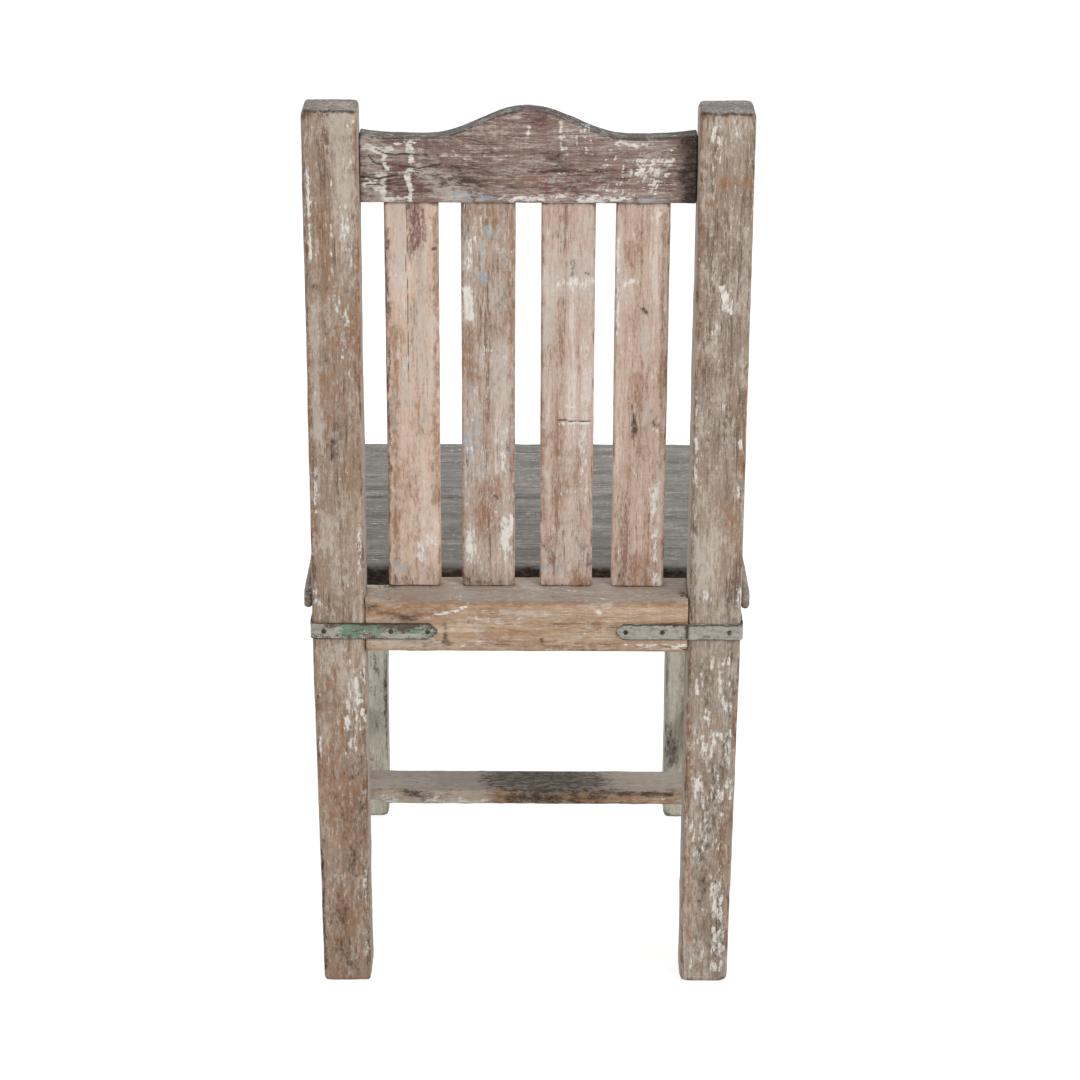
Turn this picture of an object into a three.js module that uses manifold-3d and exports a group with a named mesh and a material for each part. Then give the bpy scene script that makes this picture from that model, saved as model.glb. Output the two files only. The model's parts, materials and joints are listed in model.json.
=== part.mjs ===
import * as THREE from 'three';
import { RoundedBoxGeometry } from 'three/addons/geometries/RoundedBoxGeometry.js';
import { mergeVertices } from 'three/addons/utils/BufferGeometryUtils.js';
import Module from 'manifold-3d';

const wasm = await Module();
wasm.setup();

// A reclaimed timber chair, in millimetres. It faces -Y, its back leans towards +Y,
// and the sitter's left is +X. Sizes in the back are taken along the leaning posts.

// Stance
const chairWidth = 450; // across the outer faces of the posts
const legSpan = 451; // from the back of the rear feet to the back of the front legs
const seatHeight = 461; // floor to the top of the seat boards
const leanDegrees = 3; // slope of the back from upright

// Joinery
const jointGap = 0.3; // play round every tenon, shoulder, board and nail
const tenonLength = 22;
const tenonThickness = 10;
const tenonShoulder = 8; // wood left beside each tenon
const tenonRoot = 2; // how far a tenon is sunk into its own rail

// Rear posts
const postWidth = 55.5;
const postDepth = 55;
const postLength = 976;
const postArris = 3.5; // rounding of the long edges
const postTopRound = 4;
const footRound = 5;
const footTaper = 4; // how far the outer face draws in at the floor
const leastArris = 0.9; // of the long edges where the rounded ends take them in

// Crest rail
const crestThickness = 28; // its front is flush with the posts
const crestHeight = 66.5; // at the low points beside the hump
const crestDrop = 100.6; // from the post tops to the underside
const humpRise = 29;
const humpHalfWidth = 100;
const crestEndRise = 4; // upturn against each post
const crestEndLength = 54;
const crestArris = 2;

// Slats
const slatWidth = 55;
const slatThickness = 18;
const slatArris = 2;
const slatDrift = [-0.2, 0.9, -1.6, 1.9]; // hand spacing, off the even places

// Rear seat rail
const rearRailHeight = 62.3;
const rearRailThickness = 60; // its back is flush with the posts
const rearRailStep = 4.3; // how far its top lies below the seat boards
const rearRailArris = 3;
const chamferWidth = 27;
const chamferDrop = 6.3;
const chamferStop = 21; // length over which each end of the chamfer dies away
const chamferStopShare = 0.25; // what is left of the chamfer at the post
const breakWidth = 24; // lost corner at the sitter's left, along the rail
const breakDepth = 33; // from the rail's front towards its back
const breakHeight = 36;
const breakSlant = 7; // how far the torn edges run off square

// Legs, side rails and front rail
const frontLegDepth = 52;
const seatRailHeight = 60;
const seatRailThickness = 26;
const seatRailArris = 3;

// Stretchers
const stretcherHeight = 45;
const stretcherThickness = 22;
const stretcherInset = 10; // from the outer face of the posts
const stretcherLevel = 125.8; // floor to the middle of all three stretchers
const crossBoardWidth = 60;
const crossBoardThickness = 18.7;
const crossTenonLength = 14;
const stretcherArris = 2.5;

// Seat
const seatThickness = 22;
const seatOverhang = 19; // past the front of the front legs
const seatRearGap = 24.5; // open slot between the rear rail and the seat boards
const frontPlankWidth = 214;
const plankSeam = 1.2;
const plankArris = 2.5;
const seatEdgeThickness = 9;
const seatEdgeStop = 14.6; // how far the edge strips end short of the posts' back faces

// Iron corner straps and their nails
const strapWidth = 18.3;
const strapThickness = 2;
const strapReach = 131; // along the back, from the post's outer face
const strapSideReach = 120; // along the side, from the post's back face
const strapBelowSeat = 11; // from the seat boards down to the strap at the post
const strapPoint = 8; // length of the pointed ends
const strapTip = 4; // blunt height of the points
const nailHeadRadius = 3;
const nailHeadHeight = 1.2;
const nailShankRadius = 1.4;
const nailLength = 20;
const nailPointLength = 5;
const nailPostInset = 12; // from the post's outer face
const nailRailInset = 27; // from the post's inner face, or its front on the side
const nailTipInset = 10; // from the strap's ends

// Facets
const arcSteps = 3; // in each rounded corner
const crestSteps = 44; // along the crest's curved top
const nailSides = 12;
const edgeSteps = 2; // in the rounded edges of the seat's edge strips

// Finishes of the worn wood and iron
const greyBrownWood = { color: 0x8f7c6b, roughness: 0.85, metalness: 0 };
const purpleBrownWood = { color: 0x7b665c, roughness: 0.85, metalness: 0 };
const pinkTanWood = { color: 0xa98a75, roughness: 0.85, metalness: 0 };
const warmTanWood = { color: 0xa6866c, roughness: 0.85, metalness: 0 };
const greySeatPaint = { color: 0x858c89, roughness: 0.8, metalness: 0 };
const paleGreenPaint = { color: 0xa2a396, roughness: 0.8, metalness: 0 };
const greenedIron = { color: 0x6d7c70, roughness: 0.65, metalness: 0.6 };
const rustedIron = { color: 0x4b3e37, roughness: 0.7, metalness: 0.6 };

// Places shared by several pieces
const lean = THREE.MathUtils.degToRad(leanDegrees);
const halfWidth = chairWidth / 2;
const innerFace = halfWidth - postWidth;
const seatUnderside = seatHeight - seatThickness;
const seatRailTop = seatUnderside - jointGap;
const seatRailBottom = seatRailTop - seatRailHeight;
const rearRailTop = (seatHeight - rearRailStep) / Math.cos(lean);
const rearRailBottom = rearRailTop - rearRailHeight;
const crestBottom = postLength - crestDrop;
const crestMiddle = postDepth - crestThickness / 2;
const seatFront = legSpan + frontLegDepth + seatOverhang;
const seatBack = postFace(seatHeight, rearRailThickness) + seatRearGap;
const strapTop = seatUnderside / Math.cos(lean) - strapBelowSeat;
const strapMiddle = strapTop - strapWidth / 2;
const strapFace = jointGap + strapThickness;
const sides = [
  { name: 'left', sign: 1 },
  { name: 'right', sign: -1 },
];

// Distance in front of the rear feet, at a given height, of a plane that lies so deep in the leaning back.
function postFace(height, depth) {
  return depth / Math.cos(lean) - height * Math.tan(lean);
}

// Corners of a rounded rectangle, anticlockwise.
function roundedOutline(u, v, radius) {
  const [u0, u1] = [Math.min(...u) + radius, Math.max(...u) - radius];
  const [v0, v1] = [Math.min(...v) + radius, Math.max(...v) - radius];
  const centres = [[u1, v1], [u0, v1], [u0, v0], [u1, v0]];
  const points = [];
  centres.forEach(([cu, cv], corner) => {
    for (let step = 0; step <= arcSteps; step += 1) {
      const angle = (corner + step / arcSteps) * Math.PI / 2;
      points.push([cu + radius * Math.cos(angle), cv + radius * Math.sin(angle)]);
    }
  });
  return points;
}

// Closed solid through a row of matching convex outlines, flat at both ends.
function loft(rings) {
  const count = rings[0].length;
  const last = (rings.length - 1) * count;
  const corners = rings.flat();
  const faces = [];
  for (let start = 0; start < last; start += count) {
    for (let i = 0; i < count; i += 1) {
      const a = start + i;
      const b = start + (i + 1) % count;
      faces.push([a, b, b + count], [a, b + count, a + count]);
    }
  }
  for (let i = 1; i < count - 1; i += 1) {
    faces.push([0, i + 1, i], [last, last + i, last + i + 1]);
  }
  const volume = faces.reduce((sum, [a, b, c]) => (
    sum + corners[a].clone().cross(corners[b]).dot(corners[c])), 0);
  const outward = volume > 0 ? faces : faces.map(([a, b, c]) => [a, c, b]);
  const geometry = new THREE.BufferGeometry().setFromPoints(corners);
  geometry.setIndex(outward.flat());
  geometry.computeVertexNormals();
  return geometry;
}

// Straight bar of rounded section along X, Y or Z.
function bar(axis, from, to, u, v, radius) {
  const corner = {
    x: (along, [y, z]) => new THREE.Vector3(along, y, z),
    y: (along, [x, z]) => new THREE.Vector3(x, along, z),
    z: (along, [x, y]) => new THREE.Vector3(x, y, along),
  }[axis];
  const outline = roundedOutline(u, v, radius);
  return loft([from, to].map((along) => outline.map((point) => corner(along, point))));
}

// Square-edged block between two corners, grown on every side when it cuts a mortise.
function block(x, y, z, grow = 0) {
  const low = new THREE.Vector3(Math.min(...x), Math.min(...y), Math.min(...z)).subScalar(grow);
  const high = new THREE.Vector3(Math.max(...x), Math.max(...y), Math.max(...z)).addScalar(grow);
  const size = high.clone().sub(low);
  const middle = low.add(high).multiplyScalar(0.5);
  return new THREE.BoxGeometry(size.x, size.y, size.z).translate(middle.x, middle.y, middle.z);
}

function toSolid(geometry) {
  const bare = geometry.clone();
  bare.deleteAttribute('normal');
  bare.deleteAttribute('uv');
  const merged = mergeVertices(bare);
  return new wasm.Manifold(new wasm.Mesh({
    numProp: 3,
    vertProperties: new Float32Array(merged.getAttribute('position').array),
    triVerts: new Uint32Array(merged.index.array),
  }));
}

// Joins tenons to a piece, then cuts its mortises and holes.
function shape(body, { add = [], cut = [] }) {
  let solid = toSolid(body);
  add.forEach((piece) => { solid = solid.add(toSolid(piece)); });
  cut.forEach((piece) => { solid = solid.subtract(toSolid(piece)); });
  const mesh = solid.getMesh();
  const geometry = new THREE.BufferGeometry();
  geometry.setAttribute('position', new THREE.BufferAttribute(mesh.vertProperties, 3));
  geometry.setIndex(new THREE.BufferAttribute(mesh.triVerts, 1));
  geometry.computeVertexNormals();
  return geometry;
}

function place(group, name, geometry, finish) {
  const mesh = new THREE.Mesh(geometry, new THREE.MeshStandardMaterial(finish));
  mesh.name = name;
  group.add(mesh);
  return mesh;
}

const centred = (middle, size) => [middle - size / 2, middle + size / 2];
const within = ([low, high], margin) => [low + margin, high - margin];

// Tenon at one end of a rail that runs from side to side, or the mortise that takes it.
function endTenon(sign, face, length, depthMiddle, heights, grow = 0) {
  const shoulder = face - jointGap;
  const run = [sign * (shoulder - tenonRoot), sign * (face + length)];
  return block(run, centred(-depthMiddle, tenonThickness), within(heights, tenonShoulder), grow);
}

// The back leans as one group, and depth in it is measured from the posts' back faces.
const back = new THREE.Group();
back.rotation.x = -lean;
const base = new THREE.Group();
const intoBack = new THREE.Matrix4().makeRotationX(lean);

const crestLevels = [crestBottom, crestBottom + crestHeight];
const rearRailLevels = [rearRailBottom, rearRailTop];
const rearRailMiddle = postDepth / 2;
const crestTenon = (sign, grow) => (
  endTenon(sign, innerFace, tenonLength, crestMiddle, crestLevels, grow));
const rearRailTenon = (sign, grow) => (
  endTenon(sign, innerFace, tenonLength, rearRailMiddle, rearRailLevels, grow));

// Side rails and side stretchers run from the leaning posts to the upright front legs.
const runners = {
  side_seat_rail: {
    outer: halfWidth,
    thickness: seatRailThickness,
    levels: [seatRailBottom, seatRailTop],
    arris: seatRailArris,
    finish: greyBrownWood,
  },
  side_stretcher: {
    outer: halfWidth - stretcherInset,
    thickness: stretcherThickness,
    levels: centred(stretcherLevel, stretcherHeight),
    arris: stretcherArris,
    finish: paleGreenPaint,
  },
};

function runnerBody(sign, { outer, thickness, levels, arris }) {
  const outline = roundedOutline([sign * (outer - thickness), sign * outer], levels, arris);
  const rear = outline.map(([x, z]) => new THREE.Vector3(x, -(postFace(z, postDepth) + jointGap), z));
  const front = outline.map(([x, z]) => new THREE.Vector3(x, -(legSpan - jointGap), z));
  return loft([rear, front]);
}

function runnerRearTenon(sign, { outer, thickness, levels }, grow = 0) {
  const x = centred(sign * (outer - thickness / 2), tenonThickness + 2 * grow);
  const [low, high] = within(levels, tenonShoulder - grow);
  const corners = [[x[0], low], [x[1], low], [x[1], high], [x[0], high]];
  const ends = [postDepth - tenonLength - grow, postDepth + jointGap + tenonRoot + grow];
  return loft(ends.map((depth) => corners.map(([cx, cz]) => (
    new THREE.Vector3(cx, -postFace(cz, depth), cz)))));
}

function runnerFrontTenon(sign, { outer, thickness, levels }, grow = 0) {
  const x = centred(sign * (outer - thickness / 2), tenonThickness);
  const y = [-(legSpan - jointGap - tenonRoot), -(legSpan + tenonLength)];
  return block(x, y, within(levels, tenonShoulder), grow);
}

// Nails: those in the back point to the front, those in the side point across the chair.
function nailSpots(sign) {
  const rearNails = [halfWidth - nailPostInset, innerFace - nailRailInset,
    halfWidth - strapReach + nailTipInset].map((x) => ({ face: 'rear', x: sign * x }));
  const sideNails = [postDepth + nailRailInset, strapSideReach - nailTipInset]
    .map((depth) => ({ face: 'side', depth }));
  return [...rearNails, ...sideNails];
}

function nailHole(sign, spot) {
  const hole = new THREE.CylinderGeometry(
    nailShankRadius + jointGap, nailShankRadius + jointGap, 2 * (nailLength + jointGap), nailSides);
  if (spot.face === 'rear') {
    return hole.translate(spot.x, strapFace + jointGap, strapMiddle);
  }
  hole.rotateZ(-sign * Math.PI / 2);
  return hole.translate(sign * (halfWidth + strapFace + jointGap), -spot.depth, strapMiddle);
}

const holesIn = (sign, face) => (
  nailSpots(sign).filter((spot) => spot.face === face).map((spot) => nailHole(sign, spot)));

// Rear post: straight timber with a level foot, tapered outside below the seat.
function postRing(sign, inset, height) {
  const taper = footTaper * Math.max(0, 1 - height(0) / rearRailBottom);
  const x = [sign * (innerFace + inset), sign * (halfWidth - taper - inset)];
  const y = [-inset, -(postDepth - inset)];
  const radius = Math.max(postArris - inset, leastArris);
  return roundedOutline(x, y, radius).map(([px, py]) => new THREE.Vector3(px, py, height(-py)));
}

function rearPost(sign) {
  const rings = [];
  for (let step = 0; step <= arcSteps; step += 1) {
    const angle = (step / arcSteps) * Math.PI / 2;
    const rise = footRound * (1 - Math.cos(angle));
    const level = (depth) => (rise - depth * Math.sin(lean)) / Math.cos(lean);
    rings.push(postRing(sign, footRound * (1 - Math.sin(angle)), level));
  }
  rings.push(postRing(sign, 0, () => rearRailBottom));
  for (let step = 0; step <= arcSteps; step += 1) {
    const angle = (step / arcSteps) * Math.PI / 2;
    const along = postLength - postTopRound * (1 - Math.sin(angle));
    rings.push(postRing(sign, postTopRound * (1 - Math.cos(angle)), () => along));
  }
  const mortises = [crestTenon(sign, jointGap), rearRailTenon(sign, jointGap)];
  Object.values(runners).forEach((runner) => {
    mortises.push(runnerRearTenon(sign, runner, jointGap).applyMatrix4(intoBack));
  });
  return shape(loft(rings), { cut: [...mortises, ...holesIn(sign, 'rear')] });
}

sides.forEach(({ name, sign }) => {
  place(back, `rear_post_${name}`, rearPost(sign), greyBrownWood);
});

// Slats stand between the rear rail and the crest rail, in mortises in both.
const slatGap = (2 * innerFace - slatDrift.length * slatWidth) / (slatDrift.length + 1);
const slatCentres = slatDrift.map((drift, i) => (
  innerFace - slatGap * (i + 1) - slatWidth * (i + 0.5) + drift));
const slatSpan = [rearRailTop + jointGap, crestBottom - jointGap];

function slatTenons(centre, grow = 0) {
  const x = within(centred(centre, slatWidth), tenonShoulder);
  const y = centred(-crestMiddle, tenonThickness);
  const lower = [slatSpan[0] + tenonRoot, rearRailTop - tenonLength];
  const upper = [slatSpan[1] - tenonRoot, crestBottom + tenonLength];
  return [lower, upper].map((z) => block(x, y, z, grow));
}

slatCentres.forEach((centre, i) => {
  const x = centred(centre, slatWidth);
  const y = centred(-crestMiddle, slatThickness);
  const body = bar('z', ...slatSpan, x, y, slatArris);
  place(back, `back_slat_${i + 1}`, shape(body, { add: slatTenons(centre) }), pinkTanWood);
});

const slatMortises = slatCentres.flatMap((centre) => slatTenons(centre, jointGap));

// Crest rail: a hump in the middle of its top edge, and a slight upturn at each post.
function crestTop(x) {
  const fromMiddle = Math.min(Math.abs(x) / humpHalfWidth, 1);
  const fromPost = Math.max(0, 1 - (innerFace - Math.abs(x)) / crestEndLength);
  const hump = humpRise * (1 + Math.cos(Math.PI * fromMiddle)) / 2;
  return crestBottom + crestHeight + hump + crestEndRise * fromPost ** 2;
}

function crestRail() {
  const half = innerFace - jointGap;
  const outline = new THREE.Shape([
    new THREE.Vector2(-half, crestBottom),
    new THREE.Vector2(half, crestBottom),
  ]);
  for (let step = 0; step <= crestSteps; step += 1) {
    const x = half * (1 - 2 * step / crestSteps);
    outline.lineTo(x, crestTop(x));
  }
  const body = new THREE.ExtrudeGeometry(outline, {
    depth: crestThickness - 2 * crestArris,
    bevelThickness: crestArris,
    bevelSize: crestArris,
    bevelOffset: -crestArris,
    bevelSegments: arcSteps,
  });
  body.rotateX(Math.PI / 2).translate(0, -(postDepth - crestThickness + crestArris), 0);
  const tenons = sides.map(({ sign }) => crestTenon(sign));
  return shape(body, { add: tenons, cut: slatMortises });
}

place(back, 'crest_rail', crestRail(), purpleBrownWood);

// Rear seat rail: a flat chamfer along its back edge dies away before the posts.
function stoppedChamfer() {
  const ends = [[-innerFace, chamferStopShare], [chamferStop - innerFace, 1],
    [innerFace - chamferStop, 1], [innerFace, chamferStopShare]];
  return loft(ends.map(([x, share]) => [
    new THREE.Vector3(x, jointGap, rearRailTop - share * chamferDrop),
    new THREE.Vector3(x, jointGap, rearRailTop + jointGap),
    new THREE.Vector3(x, -share * chamferWidth, rearRailTop + jointGap),
  ]));
}

// Wood torn out of the rail's corner where the sitter's left post stands.
function brokenCorner() {
  const front = rearRailThickness + jointGap;
  const behind = rearRailThickness - breakDepth;
  const plan = new THREE.Shape([
    new THREE.Vector2(innerFace, -front),
    new THREE.Vector2(innerFace - breakWidth - breakSlant, -front),
    new THREE.Vector2(innerFace - breakWidth, -(front + behind) / 2),
    new THREE.Vector2(innerFace - breakWidth + breakSlant / 2, -behind),
    new THREE.Vector2(innerFace, -(behind + breakSlant / 2)),
  ]);
  const hollow = new THREE.ExtrudeGeometry(plan, { depth: breakHeight + jointGap, bevelEnabled: false });
  return hollow.translate(0, 0, rearRailTop - breakHeight);
}

function rearSeatRail() {
  const half = innerFace - jointGap;
  const body = bar('x', -half, half, [0, -rearRailThickness], rearRailLevels, rearRailArris);
  const tenons = sides.map(({ sign }) => rearRailTenon(sign));
  const holes = sides.flatMap(({ sign }) => holesIn(sign, 'rear'));
  return shape(body, { add: tenons, cut: [...slatMortises, ...holes, stoppedChamfer(), brokenCorner()] });
}

place(back, 'rear_seat_rail', rearSeatRail(), warmTanWood);

// Corner strap: flat iron bar, pointed at both ends and bent round the post.
function cornerStrap(sign) {
  const inside = jointGap;
  const bend = postArris + jointGap;
  const rearTip = halfWidth - strapReach;
  const stations = [
    { x: rearTip, y: 0, out: [0, 1], height: strapTip },
    { x: rearTip + strapPoint, y: 0, out: [0, 1], height: strapWidth },
  ];
  for (let step = 0; step <= arcSteps; step += 1) {
    const angle = (step / arcSteps) * Math.PI / 2;
    const out = [Math.sin(angle), Math.cos(angle)];
    const [x, y] = [halfWidth - bend + bend * out[0], -bend + bend * out[1]];
    stations.push({ x, y, out, height: strapWidth });
  }
  stations.push({ x: halfWidth, y: strapPoint - strapSideReach, out: [1, 0], height: strapWidth });
  stations.push({ x: halfWidth, y: -strapSideReach, out: [1, 0], height: strapTip });
  const rings = stations.map(({ x, y, out, height }) => (
    [[inside, -1], [strapFace, -1], [strapFace, 1], [inside, 1]].map(([off, end]) => (
      new THREE.Vector3(sign * (x + off * out[0]), y + off * out[1], strapMiddle + end * height / 2)))));
  const holes = ['rear', 'side'].flatMap((face) => holesIn(sign, face));
  return shape(loft(rings), { cut: holes });
}

// Nail with a low domed head and a pointed shank.
function strapNail() {
  const dome = (nailHeadRadius ** 2 + nailHeadHeight ** 2) / (2 * nailHeadHeight);
  const profile = [new THREE.Vector2(0, -nailLength)];
  profile.push(new THREE.Vector2(nailShankRadius, nailPointLength - nailLength));
  profile.push(new THREE.Vector2(nailShankRadius, 0));
  for (let step = 0; step < arcSteps; step += 1) {
    const radius = nailHeadRadius * (1 - step / arcSteps);
    const height = Math.sqrt(dome ** 2 - radius ** 2) - dome + nailHeadHeight;
    profile.push(new THREE.Vector2(radius, height));
  }
  profile.push(new THREE.Vector2(0, nailHeadHeight));
  return new THREE.LatheGeometry(profile, nailSides);
}

sides.forEach(({ name, sign }) => {
  place(back, `corner_strap_${name}`, cornerStrap(sign), greenedIron);
  nailSpots(sign).forEach((spot, i) => {
    const nail = place(back, `strap_nail_${name}_${i + 1}`, strapNail(), rustedIron);
    const lift = strapFace + jointGap;
    if (spot.face === 'rear') {
      nail.position.set(spot.x, lift, strapMiddle);
    } else {
      nail.position.set(sign * (halfWidth + lift), -spot.depth, strapMiddle);
      nail.rotation.z = -sign * Math.PI / 2;
    }
  });
});

// Front legs, with a rail between them under the seat.
const frontRailMiddle = legSpan + frontLegDepth / 2;
const frontRailTenon = (sign, grow) => (
  endTenon(sign, innerFace, tenonLength, frontRailMiddle, runners.side_seat_rail.levels, grow));

function frontLeg(sign) {
  const body = new RoundedBoxGeometry(postWidth, frontLegDepth, seatRailTop, arcSteps, postArris);
  body.translate(sign * (innerFace + postWidth / 2), -frontRailMiddle, seatRailTop / 2);
  const mortises = Object.values(runners).map((runner) => runnerFrontTenon(sign, runner, jointGap));
  return shape(body, { cut: [...mortises, frontRailTenon(sign, jointGap)] });
}

function frontSeatRail() {
  const half = innerFace - jointGap;
  const y = centred(-frontRailMiddle, seatRailThickness);
  const body = bar('x', -half, half, y, runners.side_seat_rail.levels, seatRailArris);
  return shape(body, { add: sides.map(({ sign }) => frontRailTenon(sign)) });
}

// Cross stretcher: flat board let into the middle of the side stretchers.
const stretcherInner = halfWidth - stretcherInset - stretcherThickness;
const crossMiddle = (postFace(stretcherLevel, postDepth) + legSpan) / 2;

function crossTenon(sign, grow = 0) {
  const x = [sign * (stretcherInner - jointGap - tenonRoot), sign * (stretcherInner + crossTenonLength)];
  const y = within(centred(-crossMiddle, crossBoardWidth), tenonShoulder);
  return block(x, y, centred(stretcherLevel, tenonThickness), grow);
}

function crossStretcher() {
  const half = stretcherInner - jointGap;
  const y = centred(-crossMiddle, crossBoardWidth);
  const z = centred(stretcherLevel, crossBoardThickness);
  const board = bar('x', -half, half, y, z, stretcherArris);
  return shape(board, { add: sides.map(({ sign }) => crossTenon(sign)) });
}

sides.forEach(({ name, sign }) => {
  const holes = holesIn(sign, 'side').map((hole) => hole.applyMatrix4(intoBack.clone().invert()));
  const cuts = { side_seat_rail: holes, side_stretcher: [crossTenon(sign, jointGap)] };
  place(base, `front_leg_${name}`, frontLeg(sign), paleGreenPaint);
  Object.entries(runners).forEach(([kind, runner]) => {
    const add = [runnerRearTenon(sign, runner), runnerFrontTenon(sign, runner)];
    place(base, `${kind}_${name}`, shape(runnerBody(sign, runner), { add, cut: cuts[kind] }), runner.finish);
  });
});
place(base, 'front_seat_rail', frontSeatRail(), greyBrownWood);
place(base, 'cross_stretcher', crossStretcher(), paleGreenPaint);

// Seat: two boards from side to side, with a strip along the ends of both.
const seatLevels = [seatUnderside, seatHeight];
const seam = seatFront - frontPlankWidth;
const planks = {
  seat_plank_front: [-seatFront, -seam],
  seat_plank_rear: [-(seam - plankSeam), -seatBack],
};
Object.entries(planks).forEach(([name, y]) => {
  place(base, name, bar('x', -halfWidth, halfWidth, y, seatLevels, plankArris), greySeatPaint);
});

const edgeRear = seatEdgeStop + postFace(seatHeight, 0);
const edgeLength = seatFront - edgeRear;
sides.forEach(({ name, sign }) => {
  const strip = new RoundedBoxGeometry(seatEdgeThickness, edgeLength, seatThickness, edgeSteps, plankArris);
  const middle = sign * (halfWidth + jointGap + seatEdgeThickness / 2);
  strip.translate(middle, -(edgeRear + edgeLength / 2), seatHeight - seatThickness / 2);
  place(base, `seat_edge_${name}`, strip, greySeatPaint);
});

// The origin is on the floor, under the middle of the chair.
const chair = new THREE.Group();
chair.add(back, base);
const bounds = new THREE.Box3().setFromObject(chair, true);
const centre = bounds.getCenter(new THREE.Vector3());
chair.position.set(-centre.x, -centre.y, -bounds.min.z);
chair.updateMatrixWorld(true);

export default chair;
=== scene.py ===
import json
import math

import bpy
import numpy as np
from mathutils import Euler, Matrix, Vector

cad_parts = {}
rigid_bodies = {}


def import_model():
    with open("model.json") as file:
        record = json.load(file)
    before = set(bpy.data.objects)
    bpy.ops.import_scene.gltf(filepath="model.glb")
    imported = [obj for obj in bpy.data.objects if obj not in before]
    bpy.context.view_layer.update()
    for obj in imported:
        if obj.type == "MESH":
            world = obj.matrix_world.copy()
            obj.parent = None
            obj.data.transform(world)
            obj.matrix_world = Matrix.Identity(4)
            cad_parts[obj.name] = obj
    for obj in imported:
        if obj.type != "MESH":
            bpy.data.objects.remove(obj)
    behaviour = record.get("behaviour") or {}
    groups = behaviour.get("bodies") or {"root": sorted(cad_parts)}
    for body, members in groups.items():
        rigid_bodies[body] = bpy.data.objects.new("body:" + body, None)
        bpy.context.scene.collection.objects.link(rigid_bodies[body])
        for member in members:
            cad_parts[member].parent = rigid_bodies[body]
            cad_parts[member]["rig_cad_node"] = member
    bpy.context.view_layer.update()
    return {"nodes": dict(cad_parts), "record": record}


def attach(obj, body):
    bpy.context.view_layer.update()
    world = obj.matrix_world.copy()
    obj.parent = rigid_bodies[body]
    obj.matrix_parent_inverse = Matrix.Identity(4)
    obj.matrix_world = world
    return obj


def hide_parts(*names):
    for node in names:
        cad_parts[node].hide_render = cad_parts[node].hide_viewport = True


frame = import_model()
mm = 0.001
print("frame: %d solids loaded" % len(frame["nodes"]))

# the camera, solved from the photograph's perspective
cameraSetup = {
    "frame": 1080,        # pixels each way
    "focal": 3159,        # pixels
    "column": 527,        # where the chair's middle falls
    "pitch": 18.55,       # degrees down
    "roll": 0.2,          # degrees, the right side low
    "height": 1.5653,     # metres above the floor
    "distance": 3.1373,   # metres behind the rear feet
    "sensor": 36.0,       # millimetres
    "postDepth": 0.055,   # metres, foot centre to foot back is half of it
    "grazing": 0.12,      # least cosine between a face and the sight line that still shows
}


def rearFace():
    foot = next(m for m in frame["record"]["mounts"] if m["name"] == "rear_left_foot")
    return foot["pos_m"][1] + cameraSetup["postDepth"] / 2


def cameraPlace():
    return Vector((0, rearFace() + cameraSetup["distance"], cameraSetup["height"]))


def makeCamera():
    setup = cameraSetup
    bpy.ops.object.camera_add()
    camera = bpy.context.active_object
    camera.name = "photo_camera"
    camera.data.sensor_width = setup["sensor"]
    camera.data.lens = setup["sensor"] * setup["focal"] / setup["frame"]
    camera.data.shift_x = (setup["frame"] / 2 - setup["column"]) / setup["frame"]
    turn = Euler((math.radians(90 - setup["pitch"]), 0, math.pi)).to_matrix().to_4x4()
    roll = Matrix.Rotation(math.radians(setup["roll"]), 4, "Z")
    camera.matrix_world = Matrix.Translation(cameraPlace()) @ turn @ roll
    bpy.context.scene.camera = camera


def photoPixels(points):
    # where each point falls in the photograph
    setup = cameraSetup
    pitch = math.radians(setup["pitch"])
    roll = math.radians(setup["roll"])
    eye = cameraPlace()
    forward = eye.y - points[:, 1]
    drop = eye.z - points[:, 2]
    depth = forward * math.cos(pitch) + drop * math.sin(pitch)
    right = -setup["focal"] * points[:, 0] / depth
    down = setup["focal"] * (drop * math.cos(pitch) - forward * math.sin(pitch)) / depth
    columns = setup["column"] + right * math.cos(roll) - down * math.sin(roll)
    rows = setup["frame"] / 2 + right * math.sin(roll) + down * math.cos(roll)
    return np.stack([columns, rows], 1)


makeCamera()
print("camera set")


# mesh work shared by every piece

def pickOnly(piece):
    bpy.ops.object.select_all(action="DESELECT")
    piece.select_set(True)
    bpy.context.view_layer.objects.active = piece


def copySolid(node, name):
    pickOnly(frame["nodes"][node])
    bpy.ops.object.duplicate()
    piece = bpy.context.active_object
    piece.name = name
    piece.data.name = name
    del piece["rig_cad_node"]
    piece.data.materials.clear()
    bpy.ops.object.mode_set(mode="EDIT")
    bpy.ops.mesh.select_all(action="SELECT")
    bpy.ops.mesh.remove_doubles(threshold=0.01 * mm)
    bpy.ops.object.mode_set(mode="OBJECT")
    return piece


def applyNew(piece, kind, **settings):
    pickOnly(piece)
    modifier = piece.modifiers.new(kind.lower(), kind)
    for setting, value in settings.items():
        setattr(modifier, setting, value)
    bpy.ops.object.modifier_apply(modifier=modifier.name)


def voxelMesh(piece, voxel):
    applyNew(piece, "REMESH", mode="VOXEL", voxel_size=voxel * mm, adaptivity=0, use_smooth_shade=True)


def makeGuide(grain, stretch, offset):
    # an empty that stretches a texture along the grain
    bpy.ops.object.empty_add(location=offset)
    guide = bpy.context.active_object
    guide.scale["XYZ".index(grain)] = stretch
    bpy.context.view_layer.update()
    return guide


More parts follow.
